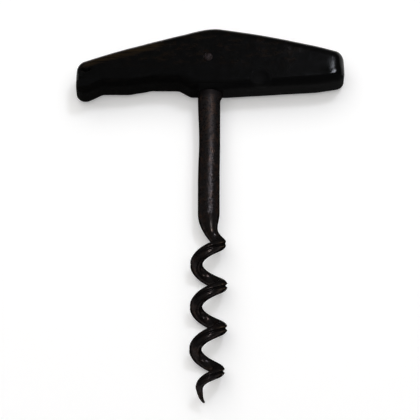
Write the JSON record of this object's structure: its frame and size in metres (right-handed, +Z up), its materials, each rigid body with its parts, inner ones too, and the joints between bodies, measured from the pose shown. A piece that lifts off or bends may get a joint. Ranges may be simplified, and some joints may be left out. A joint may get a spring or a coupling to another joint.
{
  "type": "corkscrew",
  "caption": "Old direct-pull corkscrew: black horn slab handle, iron shank and grooved wire worm in one piece, held by a cross pin.",
  "frame": {"origin": "on the surface that the corkscrew lies on, below the middle of its whole outline", "axes": "+X along the handle, +Y from the worm's point to the handle's crown, +Z up from the surface"},
  "size_m": [0.083, 0.12, 0.0114],
  "materials": {
    "horn": "satin",
    "iron": "satin",
    "pin_iron": "satin"
  },
  "bodies": {
    "root": {"handle": "horn", "shank_and_worm": "iron", "cross_pin": "pin_iron"}
  },
  "joints": []
}
